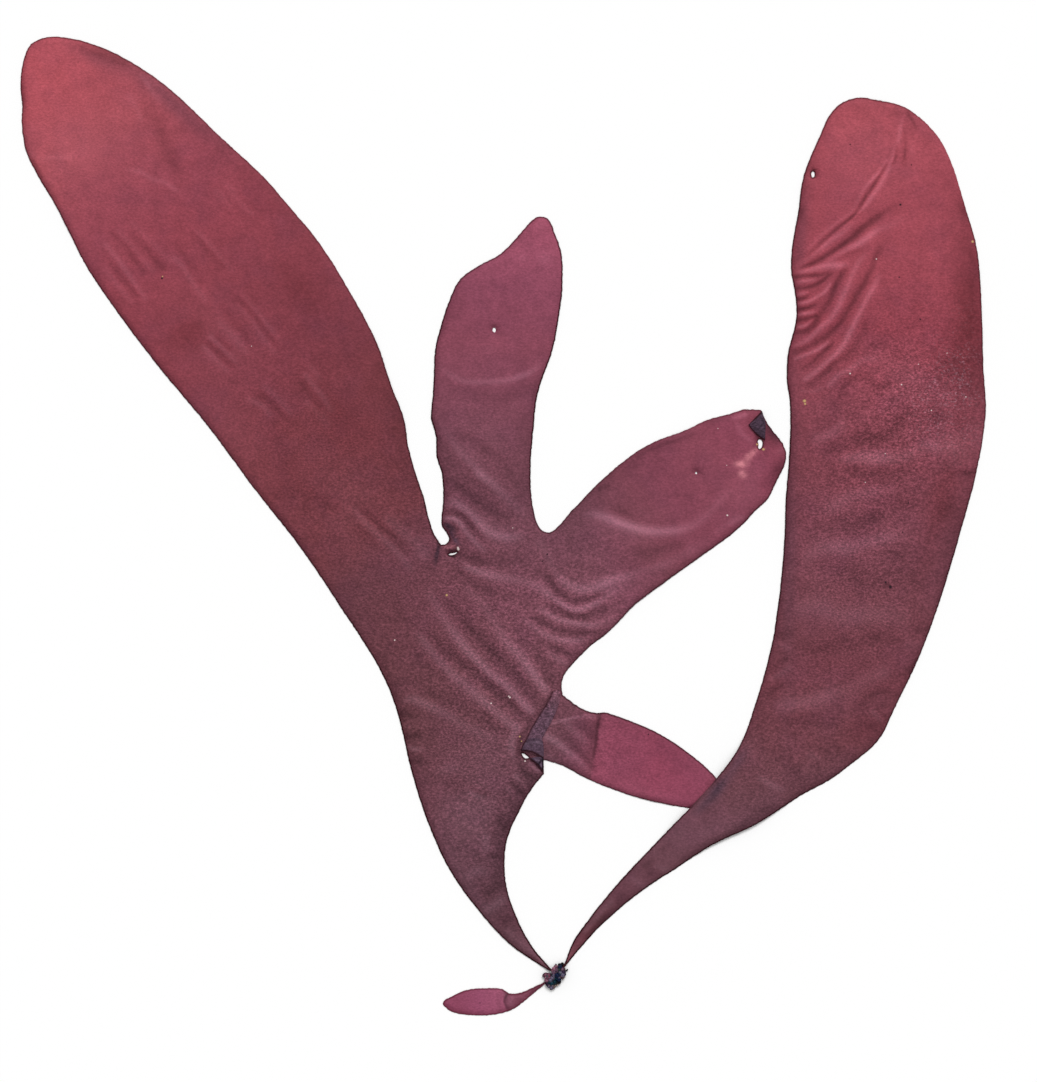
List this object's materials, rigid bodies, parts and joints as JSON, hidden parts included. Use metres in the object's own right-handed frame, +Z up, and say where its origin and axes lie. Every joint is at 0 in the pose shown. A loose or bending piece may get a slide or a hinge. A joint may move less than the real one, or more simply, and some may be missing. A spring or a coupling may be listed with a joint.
{
  "type": "dulse seaweed",
  "caption": "Flat red seaweed lying face up: a forked frond with four lobes, a long undivided frond and a small young frond, all growing from one small lumpy holdfast.",
  "frame": {"origin": "the middle of the specimen's box in X and Y, on the surface that it lies on", "axes": "+Z up out of the face that is seen, +Y from the holdfast towards the tips of the fronds, +X to the right from above"},
  "size_m": [0.1654, 0.1676, 0.0017],
  "materials": {
    "holdfast": "satin",
    "forked_frond": "satin",
    "long_frond": "satin",
    "small_frond": "satin"
  },
  "bodies": {
    "root": {"holdfast": "holdfast", "forked_frond_base": "forked_frond", "forked_frond_left_lobe": "forked_frond", "forked_frond_middle_lobe": "forked_frond", "forked_frond_right_lobe": "forked_frond", "forked_frond_side_lobe": "forked_frond", "long_frond": "long_frond", "small_frond": "small_frond"}
  },
  "joints": []
}
